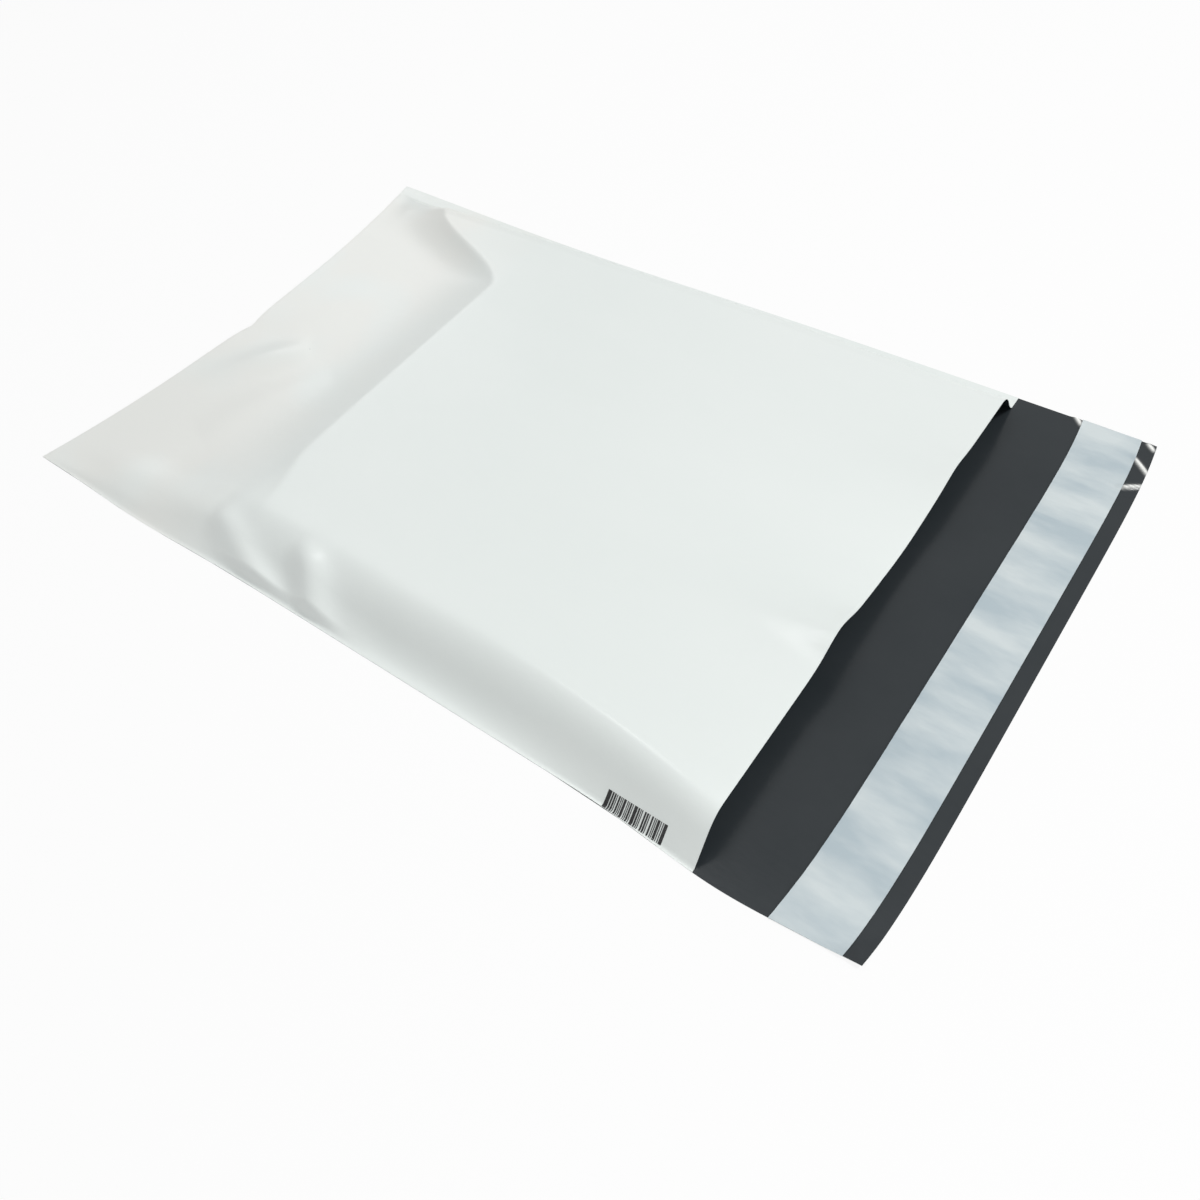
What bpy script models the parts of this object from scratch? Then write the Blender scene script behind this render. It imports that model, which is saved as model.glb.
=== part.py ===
"""An open poly mailer bag, lying on its back panel and still holding the form of a flat, folded load.

The bag is one sheet of co-extruded polyethylene film, white outside and grey inside. The sheet is folded
across the closed end and welded along both sides, and its back panel runs on past the mouth as a lip.
A strip of hot-melt glue crosses the lip under a siliconed release liner.

Frame: X across the bag, +Y towards the closed end, Z up, back panel on z = 0. Sizes are in metres.
"""
import bpy
import bmesh
import numpy as np

# Outline of the bag as it lies
BAG_WIDTH = 0.2314
POCKET_LENGTH = 0.3283
LIP_LENGTH = 0.0527
LIP_EDGE_BOW = 0.0026
LIP_EDGE_POWER = 6

# Where the load pushes a side seam out or draws it in: amount, distance from its end of the bag, reach
MOUTH_BOW = (0.0030, -0.0080, 0.0300)
CORNER_BOW = (0.0014, 0.0660, 0.0350)
FAR_DRAW = (0.0034, 0.1150, 0.1000)

# The closed end, drawn in between its corners, with one kink: amount, place across, reach
CLOSED_END_DRAW = 0.0112
CLOSED_END_POWER = 2.2
CLOSED_END_KINK = (0.0032, -0.0070, 0.0080)

# Film and welds
FILM_WALL = 0.0005
SIDE_SEAL = 0.0050
FOLD_DEPTH = 0.0012
POCKET_SLACK = 0.0004
CUT_SLANT = 0.0002

# Heights of the load, and the slopes beside it: start and width from each seam
NEAR_HEIGHT = 0.0178
FAR_HEIGHT = 0.0126
MOUTH_HEIGHT = 0.0150
NEAR_FOOT = 0.0010
NEAR_SLOPE = 0.0230
NEAR_SLOPE_AT_MOUTH = 0.0165
NEAR_SLOPE_PAST_LOAD = 0.0350
FAR_FOOT = 0.0065
FAR_SLOPE = 0.0120
FAR_SLOPE_AT_MOUTH = 0.0160
SLOPE_FULLNESS_AT_MOUTH = 0.45
STEEPEST_SHARE = 0.42
MOUTH_REACH = 0.1180
PAST_LOAD_REACH = 0.0700
RIDGE_BEAD = 0.0009
RIDGE_BEAD_REACH = 0.0060

# Waves of the free edge at the mouth: height, place across, reach, and how far they run back
MOUTH_WAVES = ((0.0050, -0.0330, 0.0100), (-0.0042, 0.0140, 0.0260), (0.0022, 0.0520, 0.0090))
WAVE_RUN = 0.0280

# The load's end and the film beyond it: a long ramp from the fold, and a steeper drop beside the load
LOAD_END = 0.1120
LOAD_END_SKEW = 0.0450
RAMP_SHARE = 0.35
RAMP_POWER = 1.15
DROP_RUN = 0.0450
DROP_SOFTNESS = 0.25
HIP_BLEND = 3.0

# The drop swings towards the closed corner beside the far weld: start and width across, and the swing
FAR_SWING_START = 0.0570
FAR_SWING_WIDTH = 0.0420
FAR_SWING = 0.0620

# It draws back and lengthens a little beside the near weld
NEAR_SWING_START = 0.0700
NEAR_SWING_WIDTH = 0.0300
NEAR_SWING = 0.0120
NEAR_SWING_RUN = 0.0200

# Folds at the load's corner and the kink: start and end from the near seam and the load's end, width, height
LOAD_FOLDS = (
    ((0.0136, 0.0098), (-0.0030, -0.0380), 0.0046, 0.0046),
    ((0.0188, -0.0340), (-0.0010, -0.0615), 0.0064, 0.0056),
    ((0.0300, 0.0060), (0.0440, 0.0280), 0.0045, 0.0009),
    ((0.0360, 0.0440), (0.0860, 0.0280), 0.0100, 0.0011),
    ((0.1120, 0.1000), (0.0700, 0.0790), 0.0120, 0.0020),
)
FOLD_FADE = 0.12
FOLD_TOP_POWER = 8

# Glue and liner on the lip
LINER_WIDTH = 0.0219
LINER_EDGE_INSET = 0.0056
LINER_THICKNESS = 0.0004
LINER_SIDE_INSET = 0.0006
GLUE_WIDTH = 0.0150
GLUE_THICKNESS = 0.0004
GLUE_SIDE_INSET = 0.0040
SEAT_GAP = 0.0003

# Cells of the film's grid: between its lines across the bag, and between its lines along it
CELLS_ACROSS = (2, 12, 14, 6, 2)
CELLS_ALONG = (3, 5, 16, 12, 10, 1)
MOUTH_BAND = 0.0300
CORNER_BAND = 0.0600
CUTTER_REACH = 0.0030

BAG_LENGTH = POCKET_LENGTH + LIP_LENGTH
CLOSED_Y = BAG_LENGTH / 2
MOUTH_Y = CLOSED_Y - POCKET_LENGTH
LIP_Y = -BAG_LENGTH / 2
NEAR_X = -BAG_WIDTH / 2
FAR_X = BAG_WIDTH / 2
LOAD_END_Y = CLOSED_Y - LOAD_END


def smooth_step(share):
    """Rises from 0 to 1 as share does, level at both ends."""
    share = np.clip(share, 0.0, 1.0)
    return share * share * (3.0 - 2.0 * share)


def bump(place, shape):
    """A bell curve of a given height, about a place, over a reach."""
    height, middle, reach = shape
    return height * np.exp(-(((place - middle) / reach) ** 2))


def near_seam(y):
    """Edge of the near side seam: straight, pushed out a little by the load at two places."""
    return NEAR_X - bump(y - MOUTH_Y, MOUTH_BOW) - bump(CLOSED_Y - y, CORNER_BOW)


def far_seam(y):
    """Edge of the far side seam: straight, drawn in beside the load."""
    return FAR_X - bump(CLOSED_Y - y, FAR_DRAW)


def closed_edge(x):
    """The fold across the closed end, drawn in between the corners, with one sharper kink."""
    draw = CLOSED_END_DRAW * np.maximum(1.0 - np.abs(x / FAR_X) ** CLOSED_END_POWER, 0.0)
    depth, middle, reach = CLOSED_END_KINK
    return CLOSED_Y - draw - depth * np.exp(-np.abs(x - middle) / reach)


def lip_edge(x):
    """Cut edge of the lip, nearly straight, with its corners a little short."""
    return LIP_Y - LIP_EDGE_BOW * (1.0 - (x / FAR_X) ** LIP_EDGE_POWER)


def towards_mouth(y):
    """0 over the load's inner half, rising to 1 at the mouth."""
    return smooth_step((MOUTH_Y + MOUTH_REACH - y) / MOUTH_REACH)


def near_slope(y):
    """Width of the slope from the near weld up to the near ridge."""
    past_load = smooth_step((y - LOAD_END_Y) / PAST_LOAD_REACH)
    at_mouth = (NEAR_SLOPE_AT_MOUTH - NEAR_SLOPE) * towards_mouth(y)
    return NEAR_SLOPE + at_mouth + (NEAR_SLOPE_PAST_LOAD - NEAR_SLOPE) * past_load


def far_slope(y):
    """Width of the slope from the far weld up to the far ridge."""
    return FAR_SLOPE + (FAR_SLOPE_AT_MOUTH - FAR_SLOPE) * towards_mouth(y)


def load_top(x, y):
    """Height of the film over the load: a gentle fall from the near ridge to the far one,
    which turns into the waves of the free edge at the mouth."""
    fall = np.clip(x / BAG_WIDTH + 0.5, 0.0, 1.0)
    inside = NEAR_HEIGHT + (FAR_HEIGHT - NEAR_HEIGHT) * fall
    ridge = x - near_seam(y) - NEAR_FOOT - near_slope(y)
    inside = inside + bump(ridge, (RIDGE_BEAD, 0.0, RIDGE_BEAD_REACH))
    at_mouth = MOUTH_HEIGHT + sum(bump(x, wave) for wave in MOUTH_WAVES)
    return inside + (at_mouth - inside) * np.exp(-np.maximum(y - MOUTH_Y, 0.0) / WAVE_RUN)


def slope_profile(share, fullness):
    """The side of the fill: hollow beside the weld, round at the ridge, straighter as fullness grows."""
    share = np.clip(share, 0.0, 1.0)
    lower = share ** 2 / STEEPEST_SHARE
    upper = 1.0 - (1.0 - share) ** 2 / (1.0 - STEEPEST_SHARE)
    rounded = np.where(share < STEEPEST_SHARE, lower, upper)
    straight = 1.0 - (1.0 - share) ** 1.5
    return rounded * (1.0 - fullness) + straight * fullness


def end_profile(x, y):
    """The film between the load's end and the closed fold: a long ramp, then a steeper drop that breaks
    off sharply at the load's edge."""
    fold = closed_edge(x)
    share = np.clip((fold - y) / (fold - LOAD_END_Y), 0.0, 1.0)
    far_swing = smooth_step((x - FAR_SWING_START) / FAR_SWING_WIDTH)
    near_swing = smooth_step((-NEAR_SWING_START - x) / NEAR_SWING_WIDTH)
    run = DROP_RUN + NEAR_SWING_RUN * near_swing
    load_end = LOAD_END_Y + LOAD_END_SKEW * x + FAR_SWING * far_swing - NEAR_SWING * near_swing
    drop = np.clip((load_end + run - y) / run, 0.0, 1.0)
    drop = DROP_SOFTNESS * smooth_step(drop) + (1.0 - DROP_SOFTNESS) * drop ** 2
    return RAMP_SHARE * share ** RAMP_POWER + (1.0 - RAMP_SHARE) * drop


def crease(x, y, start, end, width, height):
    """A soft fold along the segment from start to end: a bell across it, dying out at both ends."""
    run = (end[0] - start[0], end[1] - start[1])
    length = np.hypot(run[0], run[1])
    along = ((x - start[0]) * run[0] + (y - start[1]) * run[1]) / length ** 2
    across = ((x - start[0]) * run[1] - (y - start[1]) * run[0]) / length
    inside = np.clip(along, 0.0, 1.0)
    return np.sin(np.pi * inside) ** 0.7 * bump(across, (height, 0.0, width))


def load_folds(x, y):
    """The folds that the load's corner and the kink throw across the slopes."""
    total = 0.0
    for start, end, width, height in LOAD_FOLDS:
        first = (NEAR_X + start[0], LOAD_END_Y + start[1])
        last = (NEAR_X + end[0], LOAD_END_Y + end[1])
        total = total + crease(x, y, first, last, width, height)
    return total


def fill_lift(x, y):
    """How far the front panel stands above the flat bag: the lowest of the two side slopes and the end
    slope, blended round where they meet, times the load's height, with the folds."""
    fullness = SLOPE_FULLNESS_AT_MOUTH * towards_mouth(y)
    near = slope_profile((x - near_seam(y) - NEAR_FOOT) / near_slope(y), fullness)
    far = slope_profile((far_seam(y) - FAR_FOOT - x) / far_slope(y), fullness)
    steep = sum(np.maximum(slope, 0.0001) ** -HIP_BLEND for slope in (near, far, end_profile(x, y)))
    share = (steep - 2.0) ** (-1.0 / HIP_BLEND)
    rise = smooth_step(share / FOLD_FADE) * (1.0 - share ** FOLD_TOP_POWER)
    return load_top(x, y) * share + load_folds(x, y) * rise


def along_lines(x):
    """The film's lines across the bag, from the lip's edge to the closed fold."""
    fold = closed_edge(x)
    mouth = np.full_like(fold, MOUTH_Y)
    load_end = np.full_like(fold, LOAD_END_Y)
    return (lip_edge(x), mouth, mouth + MOUTH_BAND, load_end - CORNER_BAND, load_end + DROP_RUN / 3,
            fold - FOLD_DEPTH, fold)


def across_lines(y):
    """The film's lines along the bag, from the near seam to the far one."""
    near = near_seam(y)
    far = far_seam(y)
    return (near, near + SIDE_SEAL, near + NEAR_FOOT + near_slope(y), far - FAR_FOOT - far_slope(y),
            far - SIDE_SEAL, far)


def stations(cells):
    """Evenly spaced stations inside each interval between the numbered lines."""
    steps = [line + np.arange(count) / count for line, count in enumerate(cells)]
    return np.append(np.concatenate(steps), len(cells))


def between(lines, station):
    """The place at each station, read between the lines on either side of it."""
    lower = np.minimum(np.floor(station).astype(int), len(lines) - 2)
    stack = np.stack(np.broadcast_arrays(*lines))
    first = np.take_along_axis(stack, lower[None], axis=0)[0]
    second = np.take_along_axis(stack, lower[None] + 1, axis=0)[0]
    return first + (second - first) * (station - lower)


def film_points(along, across):
    """x and y of every grid point, each row fitted to the seams and each column to the edges."""
    rows, columns = np.meshgrid(along, across, indexing="ij")
    x = np.zeros_like(rows)
    for _ in range(4):
        y = between(along_lines(x), rows)
        x = between(across_lines(y), columns)
    return x, y


def front_height(x, y, across):
    """Top of the front panel: two films thick at the welds, and lifted by the fill between them."""
    inner = (across >= 1) & (across <= len(CELLS_ACROSS) - 1)
    slack = np.where(inner[None, :], POCKET_SLACK, 0.0)
    fold_share = smooth_step((closed_edge(x) - y) / FOLD_DEPTH)
    return 2 * FILM_WALL + slack * fold_share + fill_lift(x, y)


def wall_drop(x, y):
    """Vertical thickness of a film of FILM_WALL on the slope that it has there."""
    step = 0.0005
    slope_x = (fill_lift(x + step, y) - fill_lift(x - step, y)) / (2 * step)
    slope_y = (fill_lift(x, y + step) - fill_lift(x, y - step)) / (2 * step)
    return FILM_WALL * np.sqrt(1.0 + slope_x ** 2 + slope_y ** 2)


def solid_from_grid(name, x, y, top, bottom):
    """A closed solid: a grid primitive shaped to the points, then extruded down to a flat underside."""
    rows, columns = x.shape
    mesh = bmesh.new()
    bmesh.ops.create_grid(mesh, x_segments=columns - 1, y_segments=rows - 1, size=1.0)
    for vert in mesh.verts:
        column = round((vert.co.x + 1.0) / 2.0 * (columns - 1))
        row = round((vert.co.y + 1.0) / 2.0 * (rows - 1))
        vert.co = (x[row, column], y[row, column], top[row, column])
    walls = bmesh.ops.extrude_face_region(mesh, geom=mesh.faces[:])
    lowered = [item for item in walls["geom"] if isinstance(item, bmesh.types.BMVert)]
    for vert in lowered:
        vert.co.z = bottom
    flat = [face for face in mesh.faces if all(abs(v.co.z - bottom) < 1e-7 for v in face.verts)]
    bmesh.ops.dissolve_faces(mesh, faces=flat)
    bmesh.ops.recalc_face_normals(mesh, faces=mesh.faces[:])
    data = bpy.data.meshes.new(name)
    mesh.to_mesh(data)
    mesh.free()
    return bpy.data.objects.new(name, data)


def finish(piece, colour, roughness, coat=0.0):
    """Gives the piece its material and smooth shading with sharp edges kept."""
    material = bpy.data.materials.new(piece.name)
    material.use_nodes = True
    shader = material.node_tree.nodes["Principled BSDF"]
    shader.inputs["Base Color"].default_value = (*colour, 1.0)
    shader.inputs["Roughness"].default_value = roughness
    shader.inputs["Metallic"].default_value = 0.0
    shader.inputs["Coat Weight"].default_value = coat
    piece.data.materials.append(material)
    piece.data.shade_smooth()
    piece.data.set_sharp_from_angle(angle=np.radians(40))


def make_film(parts, cutters):
    """The folded and welded sheet: the filled outer form with its lip, less the pocket."""
    along = stations(CELLS_ALONG)
    across = stations(CELLS_ACROSS)
    x, y = film_points(along, across)
    top = front_height(x, y, across)
    mouth_row = CELLS_ALONG[0]
    lip_x = x[:mouth_row + 1]
    lip_y = y[:mouth_row + 1].copy()
    lip_y[-1] -= CUT_SLANT
    lip_top = np.full_like(lip_x, FILM_WALL)
    film = solid_from_grid(
        "bag_film",
        np.vstack([lip_x, x[mouth_row:]]),
        np.vstack([lip_y, y[mouth_row:]]),
        np.vstack([lip_top, top[mouth_row:]]),
        0.0,
    )

    inside = slice(CELLS_ACROSS[0], len(across) - CELLS_ACROSS[-1])
    pocket = slice(mouth_row + 1, len(along) - CELLS_ALONG[-1])
    cut_x = np.vstack([x[mouth_row, inside], x[pocket, inside]])
    cut_y = np.vstack([y[mouth_row, inside] - CUTTER_REACH, y[pocket, inside]])
    roof = top[:, inside] - wall_drop(x[:, inside], y[:, inside])
    roof = np.maximum(roof, FILM_WALL + POCKET_SLACK / 2)
    cut_top = np.vstack([roof[mouth_row], roof[pocket]])
    cavity = solid_from_grid("pocket_cutter", cut_x, cut_y, cut_top, FILM_WALL)
    cavity.hide_render = True
    cavity.display_type = "WIRE"

    parts.objects.link(film)
    cutters.objects.link(cavity)
    cut = film.modifiers.new("pocket", "BOOLEAN")
    cut.operation = "DIFFERENCE"
    cut.solver = "EXACT"
    cut.object = cavity
    finish(film, (0.79, 0.84, 0.82), 0.32, 0.2)
    return film


def make_strip(parts, name, width, edge_inset, side_inset, base, thickness):
    """A flat strip across the lip, parallel to its cut edge."""
    share = np.linspace(0.0, 1.0, 21)
    rows = np.linspace(0.0, 1.0, 3)
    row, column = np.meshgrid(rows, share, indexing="ij")
    x = np.zeros_like(row)
    for _ in range(4):
        y = lip_edge(x) + edge_inset + width * row
        left = near_seam(y) + side_inset
        right = far_seam(y) - side_inset
        x = left + (right - left) * column
    top = np.full_like(x, base + thickness)
    strip = solid_from_grid(name, x, y, top, base)
    parts.objects.link(strip)
    return strip


def make_glue(parts):
    """Hot-melt glue, laid on the lip under the middle of the liner."""
    inset = LINER_EDGE_INSET + (LINER_WIDTH - GLUE_WIDTH) / 2
    base = FILM_WALL + SEAT_GAP
    glue = make_strip(parts, "adhesive_strip", GLUE_WIDTH, inset, GLUE_SIDE_INSET, base, GLUE_THICKNESS)
    finish(glue, (0.70, 0.68, 0.58), 0.25)
    return glue


def make_liner(parts):
    """The peel-off liner over the glue, cut off level with the side seams."""
    base = FILM_WALL + SEAT_GAP + GLUE_THICKNESS + SEAT_GAP
    liner = make_strip(
        parts, "release_liner", LINER_WIDTH, LINER_EDGE_INSET, LINER_SIDE_INSET, base, LINER_THICKNESS)
    finish(liner, (0.60, 0.66, 0.68), 0.18, 0.3)
    return liner


def centre_on_origin(pieces, film):
    """Hangs the pieces on one empty that puts the middle of the film's outline at the origin."""
    places = np.array([vert.co for vert in film.data.vertices])
    middle = (places.min(axis=0) + places.max(axis=0)) / 2
    carrier = bpy.data.objects.new("bag_origin", None)
    bpy.context.scene.collection.objects.link(carrier)
    carrier.location = (-middle[0], -middle[1], 0.0)
    for piece in pieces:
        piece.parent = carrier


def main():
    for item in list(bpy.data.objects):
        bpy.data.objects.remove(item)
    parts = bpy.data.collections.new("poly_mailer_bag")
    cutters = bpy.data.collections.new("cutters")
    bpy.context.scene.collection.children.link(parts)
    bpy.context.scene.collection.children.link(cutters)
    film = make_film(parts, cutters)
    glue = make_glue(parts)
    liner = make_liner(parts)
    centre_on_origin([film, glue, liner] + list(cutters.objects), film)


main()
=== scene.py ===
"""The looks of an open poly mailer bag: its film, welds, glue, liner and printed bars."""
import bpy
import bmesh
import numpy as np
from mathutils import Matrix, Vector


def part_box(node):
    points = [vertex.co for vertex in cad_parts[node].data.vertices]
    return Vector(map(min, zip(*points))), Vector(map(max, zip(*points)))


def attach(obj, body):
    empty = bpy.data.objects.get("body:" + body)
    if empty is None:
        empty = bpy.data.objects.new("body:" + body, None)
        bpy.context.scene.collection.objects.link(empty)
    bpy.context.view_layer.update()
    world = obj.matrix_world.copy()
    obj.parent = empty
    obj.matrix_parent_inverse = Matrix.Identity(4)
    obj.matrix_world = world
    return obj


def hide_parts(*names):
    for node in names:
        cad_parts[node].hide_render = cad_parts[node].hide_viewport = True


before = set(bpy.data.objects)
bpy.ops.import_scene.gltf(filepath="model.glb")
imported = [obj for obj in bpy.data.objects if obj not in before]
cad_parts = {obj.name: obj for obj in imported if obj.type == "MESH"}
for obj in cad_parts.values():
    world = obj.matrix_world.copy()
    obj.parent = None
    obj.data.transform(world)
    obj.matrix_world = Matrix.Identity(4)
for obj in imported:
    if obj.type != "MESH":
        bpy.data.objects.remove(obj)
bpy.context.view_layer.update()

# The bag's outline.
# One sheet of polyethylene film, folded across the closed end and trimmed along both side welds.
# The load draws the closed end in between its corners and pushes the near weld out beside the mouth.
film_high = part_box("bag_film")[1]
bag_width = 0.2314
pocket_length = 0.3283
lip_length = 0.0527
closed_y = film_high.y
mouth_y = closed_y - pocket_length
lip_bow = 0.0026
lip_y = mouth_y - lip_length
bag_middle = film_high.x - bag_width / 2
load_end_y = closed_y - 0.1120


def smooth_step(share):
    """3 s^2 - 2 s^3 with s kept from 0 to 1: a rise that is level at both ends."""
    share = np.clip(share, 0.0, 1.0)
    return share * share * (3.0 - 2.0 * share)


def bell(distance, width):
    """exp(-(d / w)^2): a bell curve, 1 at no distance."""
    return np.exp(-((distance / width) ** 2))


def near_seam(y):
    """A straight weld, less two bells where the load pushes it out."""
    bows = 0.0030 * bell(y - mouth_y + 0.008, 0.030) + 0.0014 * bell(y - closed_y + 0.066, 0.035)
    return bag_middle - bag_width / 2 - bows


def far_seam(y):
    """A straight weld, less one wide bell where the load draws it in."""
    return bag_middle + bag_width / 2 - 0.0034 * bell(y - closed_y + 0.115, 0.100)


def closed_fold(x):
    """A shallow bow, 1 - s^2.2 over the half width, with a cusp exp(-|x|) where the fold kinks."""
    across = x - bag_middle
    bow = 0.0112 * np.maximum(1.0 - (np.abs(across) / (bag_width / 2)) ** 2.2, 0.0)
    return closed_y - bow - 0.0032 * np.exp(-np.abs(across + 0.007) / 0.008)


def lip_edge(x):
    """Nearly straight, 1 - s^6 over the half width, so that only the corners draw back."""
    return lip_y - lip_bow * (1.0 - ((x - bag_middle) / (bag_width / 2)) ** 6)


# The front panel's form.
# The film stands over a flat load: a slope climbs from each weld, a long ramp climbs from the closed fold,
# and hips run out to the closed corners. The free edge at the mouth waves up and down.
near_height = 0.0178
far_height = 0.0126
mouth_height = 0.0150
film_wall = 0.00015
weld_gap = 0.00005
seal_width = 0.003
near_foot = 0.0010
far_foot = 0.0065
mouth_reach = 0.118
hip_blend = 3.0
ramp_share = 0.35
mouth_waves = ((-0.033, 0.010, 0.0050), (0.014, 0.026, -0.0042), (0.052, 0.009, 0.0022))


def towards_mouth(y):
    """0 over the load's inner half, smoothly up to 1 at the mouth."""
    return smooth_step((mouth_y + mouth_reach - y) / mouth_reach)


def near_slope(y):
    """Width of the slope beside the near weld, narrower towards the mouth and wider past the load's end."""
    return 0.0230 - 0.0065 * towards_mouth(y) + 0.0120 * smooth_step((y - load_end_y) / 0.070)


def far_slope(y):
    """Width of the slope beside the far weld, a little wider towards the mouth."""
    return 0.0120 + 0.0040 * towards_mouth(y)


def load_top(x, y):
    """A plane that falls from the near ridge to the far one, with a soft bead along the near ridge and a
    sharper one along the far ridge, blended by exp(-distance) into the mouth's waves."""
    across = x - bag_middle
    inside = near_height + (far_height - near_height) * np.clip(across / bag_width + 0.5, 0.0, 1.0)
    bead = 0.0003 + 0.0008 * towards_mouth(y)
    from_near = x - near_seam(y) - near_foot - near_slope(y)
    from_far = far_seam(y) - far_foot - far_slope(y) - x
    inside = inside + bead * bell(from_near, 0.007) + 0.0005 * towards_mouth(y) * bell(from_near, 0.0025)
    inside = inside + 0.0008 * bell(from_far + 0.0015, 0.0018)
    waves = sum(height * bell(across - middle, width) for middle, width, height in mouth_waves)
    blend = np.exp(-np.maximum(y - mouth_y, 0.0) / 0.028)
    return inside + (mouth_height + waves - inside) * blend


def slope_profile(share, fullness, power=1.5):
    """Two parabolas that meet at a share of the way up, mixed by fullness with 1 - (1 - s)^power, which is
    steep at the foot."""
    share = np.clip(share, 0.0, 1.0)
    steepest = 0.42
    rounded = np.where(share < steepest, share ** 2 / steepest, 1.0 - (1.0 - share) ** 2 / (1.0 - steepest))
    return rounded * (1.0 - fullness) + (1.0 - (1.0 - share) ** power) * fullness


def end_profile(x, y):
    """A ramp s^1.15 from the closed fold, and over it a steeper drop beside the load's end, part smooth step
    and part s^3, which breaks off sharply at the top. The drop swings to the closed corner beside the far
    weld, and it is longer and softer beside the near one."""
    share = np.clip((closed_fold(x) - y) / (closed_fold(x) - load_end_y), 0.0, 1.0)
    across = x - bag_middle
    far_swing = smooth_step((across - 0.057) / 0.042)
    near_swing = smooth_step((-0.060 - across) / 0.035)
    run = 0.054 + 0.014 * near_swing
    sharpness = 0.80 - 0.50 * near_swing
    end = load_end_y + 0.045 * across + 0.062 * far_swing - 0.008 * near_swing
    drop = np.clip((end + run - y) / run, 0.0, 1.0)
    drop = smooth_step(share / 0.15) * ((1.0 - sharpness) * smooth_step(drop) + sharpness * drop ** 3)
    return ramp_share * share ** 1.15 + (1.0 - ramp_share) * drop


def crease(x, y, start, end, width, height):
    """A bell across the segment from start to end, times sin^0.7 along it."""
    run = np.subtract(end, start)
    length = np.hypot(*run)
    along = ((x - start[0]) * run[0] + (y - start[1]) * run[1]) / length ** 2
    across = ((x - start[0]) * run[1] - (y - start[1]) * run[0]) / length
    return height * np.sin(np.pi * np.clip(along, 0.0, 1.0)) ** 0.7 * bell(across, width)


def load_folds(x, y):
    """The soft folds: two at the load's near corner, a ridge from there to the closed corner, and two beside
    the kink."""
    near_x = bag_middle - bag_width / 2
    folds = 0.0
    for start, end, width, height in (
        ((0.0136, 0.0098), (-0.0081, -0.0500), 0.0062, 0.0054),
        ((0.0206, -0.0365), (-0.0080, -0.0620), 0.0074, 0.0058),
        ((0.0180, 0.0080), (0.0100, 0.1040), 0.0085, 0.0024),
        ((0.0440, 0.0590), (0.0980, 0.0350), 0.0110, 0.0013),
        ((0.0700, 0.0970), (0.1080, 0.0580), 0.0085, 0.0024),
    ):
        first = (near_x + start[0], load_end_y + start[1])
        folds = folds + crease(x, y, first, (near_x + end[0], load_end_y + end[1]), width, height)
    return folds


def fill_lift(x, y):
    """(near^-3 + far^-3 + end^-3 - 2)^(-1/3), the lowest slope rounded at the hips, times the load's height,
    and the folds. The near slope is fuller past the load's corner, and rounder at the top by the mouth."""
    far_full = 0.45 * towards_mouth(y)
    near_full = 0.60 * np.maximum(towards_mouth(y), smooth_step((y - load_end_y + 0.085) / 0.030))
    near_share = (x - near_seam(y) - near_foot) / near_slope(y)
    near = slope_profile(near_share, near_full, 1.5 + towards_mouth(y))
    far = slope_profile((far_seam(y) - far_foot - x) / far_slope(y), far_full)
    steep = sum(np.maximum(slope, 0.0001) ** -hip_blend for slope in (near, far, end_profile(x, y)))
    share = (steep - 2.0) ** (-1.0 / hip_blend)
    return load_top(x, y) * share + load_folds(x, y) * smooth_step(share / 0.12) * (1.0 - share ** 8)


def front_height(x, y):
    """The welded layers, a soft puff inside the welds, and the fill's lift."""
    to_weld = np.minimum(x - near_seam(y), far_seam(y) - x) - seal_width
    puff = 0.0005 * smooth_step(to_weld / 0.012) * smooth_step((closed_fold(x) - y) / 0.050)
    return 1.5 * film_wall + weld_gap + puff + fill_lift(x, y)


# The lip.
# The back panel runs on past the mouth as one layer of film, grey side up, cut straight across.
# Its near corner has been bent up along a crease, and its far corner carries a few sharp little creases.
near_corner = Vector((bag_middle - bag_width / 2, lip_y))
far_corner = Vector((bag_middle + bag_width / 2, lip_y))
bend_inner = near_corner + Vector((-0.0007, 0.0117))
bend_outer = near_corner + Vector((0.0095, -0.0014))
lip_creases = (
    (near_corner, (0.0017, 0.0012), (0.0045, 0.0044), 0.0003),
    (far_corner, (-0.0085, 0.0065), (-0.0175, -0.0035), 0.0008),
    (far_corner, (-0.0215, -0.0040), (-0.0275, 0.0055), 0.0008),
    (far_corner, (0.0000, 0.0036), (-0.0035, -0.0003), 0.0005),
    (far_corner, (0.0025, 0.0322), (-0.0035, 0.0265), 0.0006),
)
bend_slope = 0.30
bend_softness = 0.0006
crease_width = 0.0011
# The width of the painted glint along each crease.
glint_width = 0.0007


def lip_height(x, y):
    """Flat on the table, apart from a bent corner (its slope times the distance past the bend) and small
    sharp creases."""
    run = (bend_outer - bend_inner).normalized()
    past = (x - bend_inner.x) * run.y - (y - bend_inner.y) * run.x
    lift = bend_slope * np.log1p(np.exp(np.clip(past / bend_softness, -30, 30))) * bend_softness
    for corner, start, end, height in lip_creases:
        lift = lift + crease(x, y, corner + Vector(start), corner + Vector(end), crease_width, height)
    return lift


def lip_painted_glints(x, y):
    """From 0 to 1, a narrow bell along each crease of the far corner: a painted glint, where the bent film
    catches the lamps.
    """
    white = 0.0
    for corner, start, end, _ in lip_creases[1:]:
        white = white + crease(x, y, corner + Vector(start), corner + Vector(end), glint_width, 1.2)
    return np.clip(white, 0.0, 1.0)


# The film itself.
# The sheet is drawn as its middle surface: from the lip's edge along the back panel, round the closed fold,
# and back over the load to the mouth. Half a wall on either side makes it a closed thin shell.
columns = 170
lip_rows = 90
back_rows = 12
fold_rows = 7
front_rows = 170


def across_shares():
    """Column places, 0 at the near weld and 1 at the far one, closer together over the slopes."""
    even = np.linspace(0.0, 1.0, columns)
    return even - 0.09 * np.sin(2.0 * np.pi * even)


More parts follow.
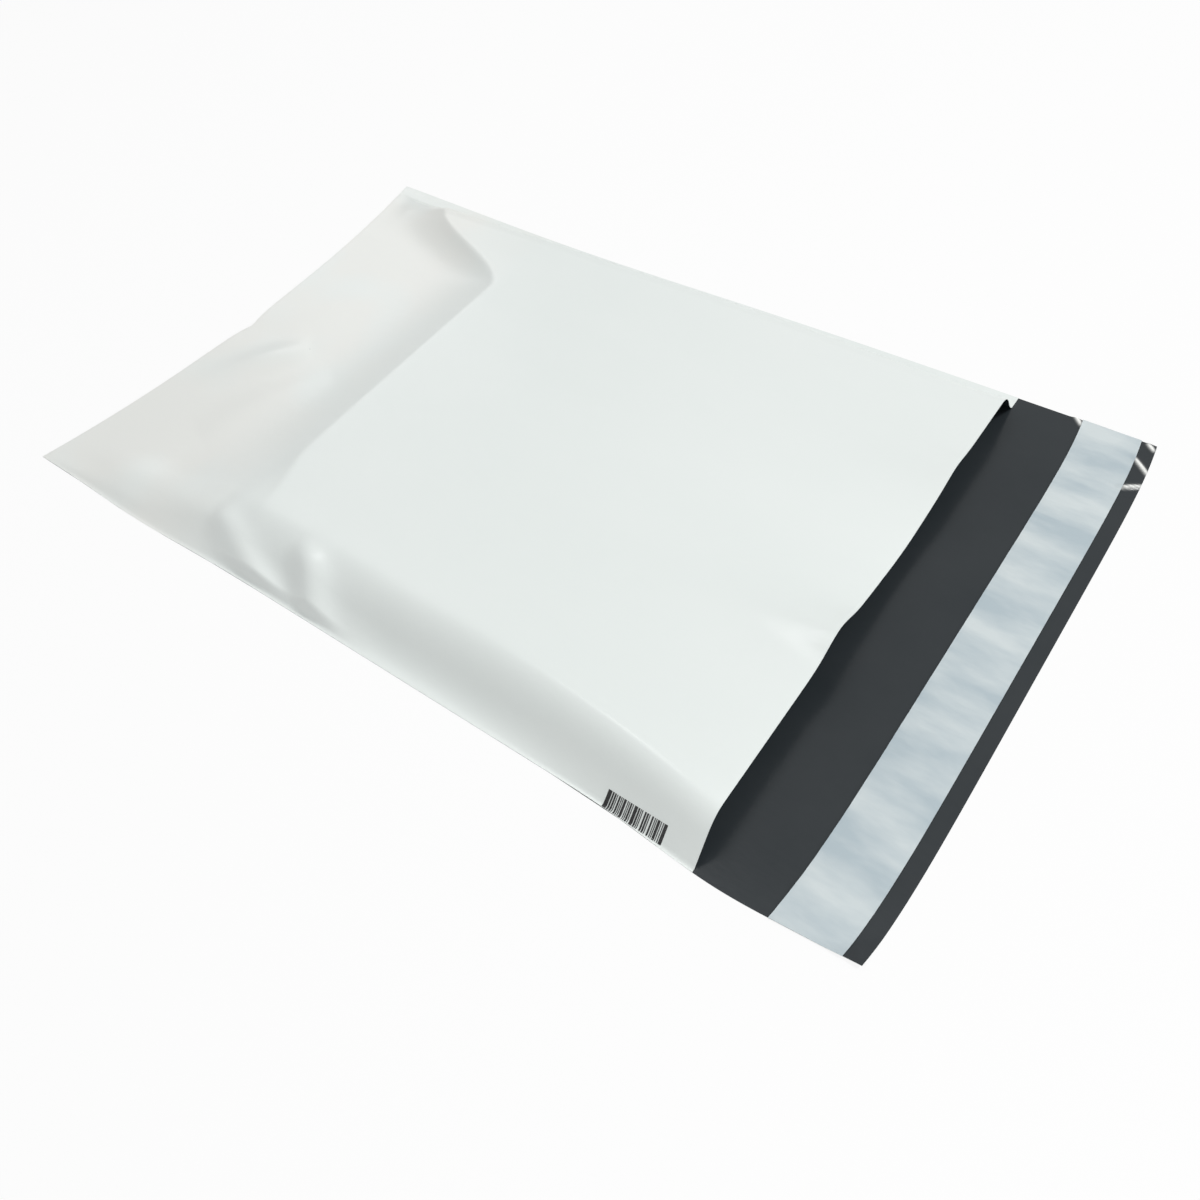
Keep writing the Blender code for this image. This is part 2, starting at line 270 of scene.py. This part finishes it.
def sheet_points():
    """Rows of points along the sheet: y runs out and back, x is fitted between the welds, and z is the height
    of each panel."""
    rows = lip_rows + back_rows + fold_rows + front_rows
    share = across_shares()[None, :]
    lip = np.linspace(0.0, 1.0, lip_rows)[:, None] ** 1.4
    back = np.linspace(0.0, 1.0, back_rows + 1)[1:, None]
    turn = np.linspace(-0.5, 0.5, fold_rows + 2)[1:-1, None] * np.pi
    front = np.linspace(0.0, 1.0, front_rows)[:, None] ** 1.04
    fold_radius = (film_wall + weld_gap) / 2
    x = np.repeat(bag_middle + (share - 0.5) * bag_width, rows, axis=0)
    for _ in range(3):
        fold_y = closed_fold(x[:1])
        edge_y = lip_edge(x[:1])
        y = np.vstack([
            edge_y + (mouth_y - edge_y) * lip,
            mouth_y + (fold_y - fold_radius - mouth_y) * back,
            fold_y - fold_radius + fold_radius * np.cos(turn),
            fold_y - fold_radius + (mouth_y - fold_y + fold_radius) * front,
        ])
        x = near_seam(y) + (far_seam(y) - near_seam(y)) * share
    flat = film_wall / 2 + lip_height(x[:lip_rows], y[:lip_rows])
    base = np.full((back_rows, columns), film_wall / 2)
    bend = np.repeat(film_wall / 2 + fold_radius * (1.0 + np.sin(turn)), columns, axis=1)
    top = front_height(x[-front_rows:], y[-front_rows:])
    return np.dstack([x, y, np.vstack([flat, base, bend, top])])


def surface_normals(points):
    """Unit cross product of the surface's two directions, by central differences."""
    along = np.gradient(points, axis=0)
    across = np.gradient(points, axis=1)
    normals = np.cross(across, along)
    return normals / np.maximum(np.linalg.norm(normals, axis=2, keepdims=True), 1e-12)


def thin_shell(name, points, wall, materials, edge_slot):
    """Offsets a grid by half a wall to each side and joins the two skins round the border.
    The first material is the skin that the normals leave, the second is the other one."""
    rows, width = points.shape[:2]
    normals = surface_normals(points)
    skins = np.concatenate([points + normals * wall / 2, points - normals * wall / 2]).reshape(-1, 3)
    index = np.arange(rows * width).reshape(rows, width)
    first = np.stack([index[:-1, :-1], index[:-1, 1:], index[1:, 1:], index[1:, :-1]], axis=-1).reshape(-1, 4)
    second = first[:, ::-1] + rows * width
    border = np.concatenate([index[0, :], index[1:, -1], index[-1, -2::-1], index[-2:0:-1, 0]])
    following = np.roll(border, -1)
    rim = np.stack([following, border, border + rows * width, following + rows * width], axis=-1)
    faces = np.concatenate([first, second, rim])
    mesh = bpy.data.meshes.new(name)
    mesh.from_pydata(skins, [], faces)
    slots = np.repeat((0, 1, edge_slot), (len(first), len(second), len(rim))).astype(np.int32)
    for material in materials:
        mesh.materials.append(material)
    mesh.polygons.foreach_set("material_index", slots)
    mesh.update()
    mesh.shade_smooth()
    mesh.set_sharp_from_angle(angle=np.radians(50))
    piece = bpy.data.objects.new(name, mesh)
    bpy.context.scene.collection.objects.link(piece)
    return piece


def add_node(material, kind, **inputs):
    """Adds a shader node and sets its named inputs."""
    node = material.node_tree.nodes.new(kind)
    for name, value in inputs.items():
        node.inputs[name.replace("_", " ")].default_value = value
    return node


def new_material(name, colour, roughness):
    """A Principled material with its plain values set on the shader."""
    material = bpy.data.materials.new(name)
    material.use_nodes = True
    shader = material.node_tree.nodes["Principled BSDF"]
    shader.inputs["Base Color"].default_value = (*colour, 1.0)
    shader.inputs["Roughness"].default_value = roughness
    shader.inputs["IOR"].default_value = 1.5
    return material, shader


def ramp(material, low, high, low_colour, high_colour):
    """A colour ramp with two stops."""
    node = material.node_tree.nodes.new("ShaderNodeValToRGB")
    node.color_ramp.elements[0].position = low
    node.color_ramp.elements[1].position = high
    node.color_ramp.elements[0].color = (*low_colour, 1.0)
    node.color_ramp.elements[1].color = (*high_colour, 1.0)
    return node


def stretched_noise(material, stretch, scale, detail=4.0):
    """Noise on object coordinates in metres, stretched along the bag where the middle factor is under 1."""
    links = material.node_tree.links
    place = material.node_tree.nodes.new("ShaderNodeTexCoord")
    mapping = add_node(material, "ShaderNodeMapping", Scale=stretch)
    noise = add_node(material, "ShaderNodeTexNoise", Scale=scale, Detail=detail, Roughness=0.55)
    links.new(place.outputs["Object"], mapping.inputs["Vector"])
    links.new(mapping.outputs["Vector"], noise.inputs["Vector"])
    return noise


def closed_end_sheen_share(material):
    """The share of the painted sheen tint: soft patches, 0 over the load and up to 1 by the closed end."""
    links = material.node_tree.links
    place = add_node(material, "ShaderNodeTexCoord")
    split = add_node(material, "ShaderNodeSeparateXYZ")
    closed_end = add_node(material, "ShaderNodeMapRange", From_Min=load_end_y, From_Max=load_end_y + 0.045)
    patches = stretched_noise(material, (1.0, 1.0, 1.0), 20.0, 1.0)
    patchy = add_node(material, "ShaderNodeMapRange", From_Min=0.36, From_Max=0.52, To_Min=0.25)
    share = add_node(material, "ShaderNodeMath")
    share.operation = "MULTIPLY"
    links.new(place.outputs["Object"], split.inputs["Vector"])
    links.new(split.outputs["Y"], closed_end.inputs["Value"])
    links.new(patches.outputs["Fac"], patchy.inputs["Value"])
    links.new(closed_end.outputs["Result"], share.inputs[0])
    links.new(patchy.outputs["Result"], share.inputs[1])
    return share.outputs["Value"]


def white_film():
    """White blown film: faint cloudiness, a warmer tint painted in patches by the closed end for the lamps'
    neutral sheen there, die lines along the bag, and a fine soft unevenness."""
    material, shader = new_material("white_film", (0.80, 0.845, 0.825), 0.30)
    links = material.node_tree.links
    cloud = stretched_noise(material, (1.0, 0.6, 1.0), 14.0)
    tint = ramp(material, 0.30, 0.75, (0.785, 0.832, 0.812), (0.812, 0.852, 0.834))
    links.new(cloud.outputs["Fac"], tint.inputs["Fac"])
    # Painted sheen: a warmer, more neutral tint in patches by the closed end, for the lamps' sheen there.
    painted_sheen_tint = add_node(material, "ShaderNodeMixRGB", Color2=(0.814, 0.828, 0.798, 1.0))
    links.new(closed_end_sheen_share(material), painted_sheen_tint.inputs["Fac"])
    links.new(tint.outputs["Color"], painted_sheen_tint.inputs["Color1"])
    links.new(painted_sheen_tint.outputs["Color"], shader.inputs["Base Color"])
    lines = stretched_noise(material, (1.0, 0.05, 1.0), 420.0, 3.0)
    gloss = add_node(material, "ShaderNodeMapRange", To_Min=0.26, To_Max=0.36)
    links.new(lines.outputs["Fac"], gloss.inputs["Value"])
    links.new(gloss.outputs["Result"], shader.inputs["Roughness"])
    fine = stretched_noise(material, (1.0, 0.7, 1.0), 260.0, 5.0)
    bump = add_node(material, "ShaderNodeBump", Strength=0.10, Distance=0.0006)
    links.new(fine.outputs["Fac"], bump.inputs["Height"])
    links.new(bump.outputs["Normal"], shader.inputs["Normal"])
    return material


def grey_film():
    """The film's grey inner layer: dark slate, softly glossy, with fine lines along the bag."""
    material, shader = new_material("grey_film", (0.022, 0.028, 0.032), 0.20)
    links = material.node_tree.links
    cloud = stretched_noise(material, (1.0, 1.0, 1.0), 30.0)
    tint = ramp(material, 0.25, 0.80, (0.024, 0.030, 0.034), (0.032, 0.038, 0.042))
    links.new(cloud.outputs["Fac"], tint.inputs["Fac"])
    # Painted highlight: the far corner's creases are painted near-white, standing in for the glints of the
    # lamps on them.
    painted_glint = add_node(material, "ShaderNodeAttribute")
    painted_glint.attribute_name = "painted_glint"
    blend = add_node(material, "ShaderNodeMixRGB", Color2=(0.95, 0.96, 0.93, 1.0))
    links.new(painted_glint.outputs["Fac"], blend.inputs["Fac"])
    links.new(tint.outputs["Color"], blend.inputs["Color1"])
    links.new(blend.outputs["Color"], shader.inputs["Base Color"])
    fine = stretched_noise(material, (1.0, 0.25, 1.0), 500.0, 4.0)
    gloss = add_node(material, "ShaderNodeMapRange", To_Min=0.16, To_Max=0.26)
    links.new(fine.outputs["Fac"], gloss.inputs["Value"])
    links.new(gloss.outputs["Result"], shader.inputs["Roughness"])
    bump = add_node(material, "ShaderNodeBump", Strength=0.15, Distance=0.0003)
    links.new(fine.outputs["Fac"], bump.inputs["Height"])
    links.new(bump.outputs["Normal"], shader.inputs["Normal"])
    return material


white = white_film()
grey = grey_film()
points = sheet_points()
film = thin_shell("mailer_film", points, film_wall, (grey, white), 1)
# Painted highlight: the glint strength on the lip's rows, 0 elsewhere.
glint_marks = np.zeros((2, *points.shape[:2]))
glint_marks[:, :lip_rows] = lip_painted_glints(points[:lip_rows, :, 0], points[:lip_rows, :, 1])
film.data.attributes.new("painted_glint", "FLOAT", "POINT").data.foreach_set("value", glint_marks.ravel())
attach(film, "root")
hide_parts("bag_film")


# The glue strip.
# Hot-melt glue, sprayed on the lip in the factory as a clear, slightly yellow band, and covered at once
# by the liner. It ends a little short of both welds.
liner_inset = 0.0056
liner_width = 0.0219
glue_width = 0.0150
glue_height = 0.00012
glue_gap = 0.00002
glue_side_inset = 0.004


def strip_points(width, inset, side_inset, height, rows, count):
    """A band parallel to the lip's edge, between the welds, laid at a height above the lip."""
    row, share = np.meshgrid(np.linspace(0, 1, rows), np.linspace(0, 1, count), indexing="ij")
    x = bag_middle + (share - 0.5) * bag_width
    for _ in range(3):
        y = lip_edge(x) + inset + width * row
        left = near_seam(y) + side_inset
        x = left + (far_seam(y) - side_inset - left) * share
    return np.dstack([x, y, film_wall + height + lip_height(x, y)])


def glue_material():
    """Clear hot-melt glue, a little yellow, with sprayed unevenness."""
    material, shader = new_material("hot_melt_glue", (0.66, 0.64, 0.52), 0.22)
    beads = stretched_noise(material, (1.0, 1.0, 1.0), 900.0)
    bump = add_node(material, "ShaderNodeBump", Strength=0.5, Distance=0.0004)
    material.node_tree.links.new(beads.outputs["Fac"], bump.inputs["Height"])
    material.node_tree.links.new(bump.outputs["Normal"], shader.inputs["Normal"])
    return material


glue_film = glue_material()
glue_inset = liner_inset + (liner_width - glue_width) / 2
glue_points = strip_points(glue_width, glue_inset, glue_side_inset, glue_gap + glue_height / 2, 12, 120)
glue = thin_shell("glue_strip", glue_points, glue_height, (glue_film, glue_film), 0)
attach(glue, "root")
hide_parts("adhesive_strip")


# The release liner.
# A strip of whitish siliconed film over the glue, cut off level with the bag's sides. It is thinner than the
# bag's film and glossy, so it shows the fine cross wrinkles that it took on the reel.
liner_wall = 0.00008
liner_gap = 0.00012
liner_overhang = 0.0001


def liner_ripples(x, y):
    """Three trains of fine waves along the strip, two of them faded in and out by a slow sine, and all of
    them stronger towards the mouth."""
    middle = lip_edge(x) + liner_inset + liner_width / 2
    inward = smooth_step((y - middle) / liner_width + 0.5)
    slow = 0.5 + 0.5 * np.sin(x * 61.0 + 1.3)
    waves = 0.00010 * np.sin(x * 900.0 + 90.0 * (y - middle)) * slow
    waves = waves + 0.00007 * np.sin(x * 1630.0 - 160.0 * (y - middle) + 0.7) * (1.0 - slow)
    waves = waves + 0.00012 * np.sin(x * 300.0 + 2.1)
    return (waves + 0.0003) * (0.35 + 0.65 * inward)


def liner_material():
    """Whitish siliconed film: cool pale grey with milky streaks across the strip, glossy."""
    material, shader = new_material("siliconed_liner", (0.50, 0.57, 0.61), 0.16)
    links = material.node_tree.links
    streaks = stretched_noise(material, (1.0, 0.30, 1.0), 75.0)
    tint = ramp(material, 0.36, 0.66, (0.45, 0.53, 0.57), (0.64, 0.70, 0.71))
    links.new(streaks.outputs["Fac"], tint.inputs["Fac"])
    links.new(tint.outputs["Color"], shader.inputs["Base Color"])
    gloss = add_node(material, "ShaderNodeMapRange", To_Min=0.12, To_Max=0.28)
    links.new(streaks.outputs["Fac"], gloss.inputs["Value"])
    links.new(gloss.outputs["Result"], shader.inputs["Roughness"])
    fine = stretched_noise(material, (1.0, 0.12, 1.0), 700.0, 3.0)
    bump = add_node(material, "ShaderNodeBump", Strength=0.25, Distance=0.0003)
    links.new(fine.outputs["Fac"], bump.inputs["Height"])
    links.new(bump.outputs["Normal"], shader.inputs["Normal"])
    return material


liner_film = liner_material()
liner_points = strip_points(liner_width, liner_inset, -liner_overhang, glue_height + liner_gap, 44, 700)
liner_points[:, :, 2] += liner_ripples(liner_points[:, :, 0], liner_points[:, :, 1])
liner = thin_shell("liner_strip", liner_points, liner_wall, (liner_film, liner_film), 0)
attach(liner, "root")
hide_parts("release_liner")


# The printed bars.
# A small block of plain black bars, printed on the front panel beside the near weld, near the mouth.
# The bars only follow a rhythm of widths, and they stand for nothing.
bars_length = 0.0222
bars_width = 0.0044
bars_start = Vector((bag_middle - 0.1116, mouth_y + 0.0343))
bars_run = Vector((-0.036, -0.999)).normalized()
bars_side = Vector((bars_run.y, -bars_run.x))
ink_wall = 0.00002
ink_lift = 0.00022


def bar_spans():
    """Dark stretches along the block: a plain rhythm of one, two and three steps, with a thick bar at each
    end and one in the middle, and two wider gaps."""
    count = np.arange(26)
    widths = 1.0 + (count % 3 == 1) + (count % 5 == 2)
    gaps = 1.0 + 0.6 * (count % 4 == 3)
    widths[[0, 12, 25]] = (5, 4, 4)
    gaps[[15, 18]] = 2.5
    gaps[-1] = 0.0
    ends = np.cumsum(np.array([widths, gaps]).T.ravel())
    starts = np.concatenate([[0.0], ends[1:-1:2]])
    return starts * bars_length / ends[-1], ends[0::2] * bars_length / ends[-1]


def printed_bars():
    """One thin closed slab for each bar, laid on the film's outer skin."""
    material, shader = new_material("black_ink", (0.012, 0.012, 0.013), 0.38)
    speckle = stretched_noise(material, (1.0, 1.0, 1.0), 2500.0)
    tone = ramp(material, 0.35, 0.62, (0.008, 0.008, 0.009), (0.03, 0.03, 0.031))
    material.node_tree.links.new(speckle.outputs["Fac"], tone.inputs["Fac"])
    material.node_tree.links.new(tone.outputs["Color"], shader.inputs["Base Color"])
    block = bmesh.new()
    for start, end in zip(*bar_spans()):
        along, side = np.meshgrid(np.linspace(start, end, 3), np.linspace(0.0, bars_width, 13), indexing="ij")
        x = bars_start.x + bars_run.x * along + bars_side.x * side
        y = bars_start.y + bars_run.y * along + bars_side.y * side
        z = front_height(x, y) + ink_lift
        bar = thin_shell("bar", np.dstack([x, y, z]), ink_wall, (material,), 0)
        bar.data.polygons.foreach_set("material_index", np.zeros(len(bar.data.polygons), np.int32))
        block.from_mesh(bar.data)
        bpy.data.objects.remove(bar)
    mesh = bpy.data.meshes.new("printed_bars")
    bmesh.ops.recalc_face_normals(block, faces=block.faces[:])
    block.to_mesh(mesh)
    block.free()
    mesh.materials.append(material)
    piece = bpy.data.objects.new("printed_bars", mesh)
    bpy.context.scene.collection.objects.link(piece)
    return piece


bars = printed_bars()
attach(bars, "root")


# The stage.
# A white floor, soft lamps above and beside the bag, and the photograph's viewpoint. The floor and the world
# stay white to the camera, and the floor keeps the bag's soft shadow.
def floor_material():
    """A white that shows its shadow faintly: part white paint, part white light for the camera alone."""
    material = bpy.data.materials.new("floor_white")
    material.use_nodes = True
    tree = material.node_tree
    tree.nodes.clear()
    paint = tree.nodes.new("ShaderNodeBsdfDiffuse")
    paint.inputs["Color"].default_value = (0.85, 0.85, 0.85, 1.0)
    glow = tree.nodes.new("ShaderNodeEmission")
    glow.inputs["Color"].default_value = (1.0, 1.0, 1.0, 1.0)
    glow.inputs["Strength"].default_value = 1.0
    path = tree.nodes.new("ShaderNodeLightPath")
    share = tree.nodes.new("ShaderNodeMath")
    share.operation = "MULTIPLY"
    share.inputs[1].default_value = 0.86
    mix = tree.nodes.new("ShaderNodeMixShader")
    output = tree.nodes.new("ShaderNodeOutputMaterial")
    tree.links.new(path.outputs["Is Camera Ray"], share.inputs[0])
    tree.links.new(share.outputs["Value"], mix.inputs["Fac"])
    tree.links.new(paint.outputs["BSDF"], mix.inputs[1])
    tree.links.new(glow.outputs["Emission"], mix.inputs[2])
    tree.links.new(mix.outputs["Shader"], output.inputs["Surface"])
    return material


def make_floor():
    """A wide plain floor, level with the bag's underside."""
    mesh = bpy.data.meshes.new("floor")
    reach = 6.0
    corners = [(-reach, -reach, 0.0), (reach, -reach, 0.0), (reach, reach, 0.0), (-reach, reach, 0.0)]
    mesh.from_pydata(corners, [], [(0, 1, 2, 3)])
    mesh.materials.append(floor_material())
    floor = bpy.data.objects.new("floor", mesh)
    bpy.context.scene.collection.objects.link(floor)


def make_lamp(name, place, size, power):
    """A rectangular soft lamp that faces the bag."""
    data = bpy.data.lights.new(name, "AREA")
    data.shape = "RECTANGLE"
    data.size = size[0]
    data.size_y = size[1]
    data.energy = power
    lamp = bpy.data.objects.new(name, data)
    lamp.location = place
    lamp.rotation_euler = (-Vector(place)).to_track_quat("-Z", "Y").to_euler()
    bpy.context.scene.collection.objects.link(lamp)


def make_camera():
    """The photograph's viewpoint, from the four corners of the outline."""
    data = bpy.data.cameras.new("camera")
    data.sensor_width = 36.0
    data.lens = 31.19
    data.clip_start = 0.01
    camera = bpy.data.objects.new("camera", data)
    right = Vector((0.5854, -0.8053, -0.0936))
    up = Vector((0.6750, 0.4202, 0.6064))
    back = Vector((-0.4490, -0.4182, 0.7896))
    turn = Matrix((right, up, back)).transposed().to_4x4()
    camera.matrix_world = Matrix.Translation((-0.2149, -0.20795, 0.2890)) @ turn
    bpy.context.scene.collection.objects.link(camera)
    bpy.context.scene.camera = camera


def make_world():
    """Plain pale light from all round, and plain white to the camera."""
    world = bpy.data.worlds.new("studio")
    world.use_nodes = True
    tree = world.node_tree
    tree.nodes.clear()
    path = tree.nodes.new("ShaderNodeLightPath")
    mix = tree.nodes.new("ShaderNodeMixShader")
    tree.links.new(path.outputs["Is Camera Ray"], mix.inputs["Fac"])
    for place, strength in ((1, 0.455), (2, 1.0)):
        light = tree.nodes.new("ShaderNodeBackground")
        light.inputs["Color"].default_value = (1.0, 1.0, 1.0, 1.0)
        light.inputs["Strength"].default_value = strength
        tree.links.new(light.outputs["Background"], mix.inputs[place])
    output = tree.nodes.new("ShaderNodeOutputWorld")
    tree.links.new(mix.outputs["Shader"], output.inputs["Surface"])
    bpy.context.scene.world = world


make_floor()
make_lamp("key", (0.50, -0.88, 1.75), (0.42, 0.42), 19.1)
make_lamp("front_light", (-0.32, -0.55, 0.22), (0.25, 0.20), 0.35)
make_lamp("ridge_light", (0.02, 0.25, 1.15), (0.22, 0.22), 1.4)
make_lamp("end_light", (0.60, 0.95, 0.52), (0.4, 0.3), 0.62)
make_camera()
make_world()
bpy.context.scene.view_settings.view_transform = "Standard"
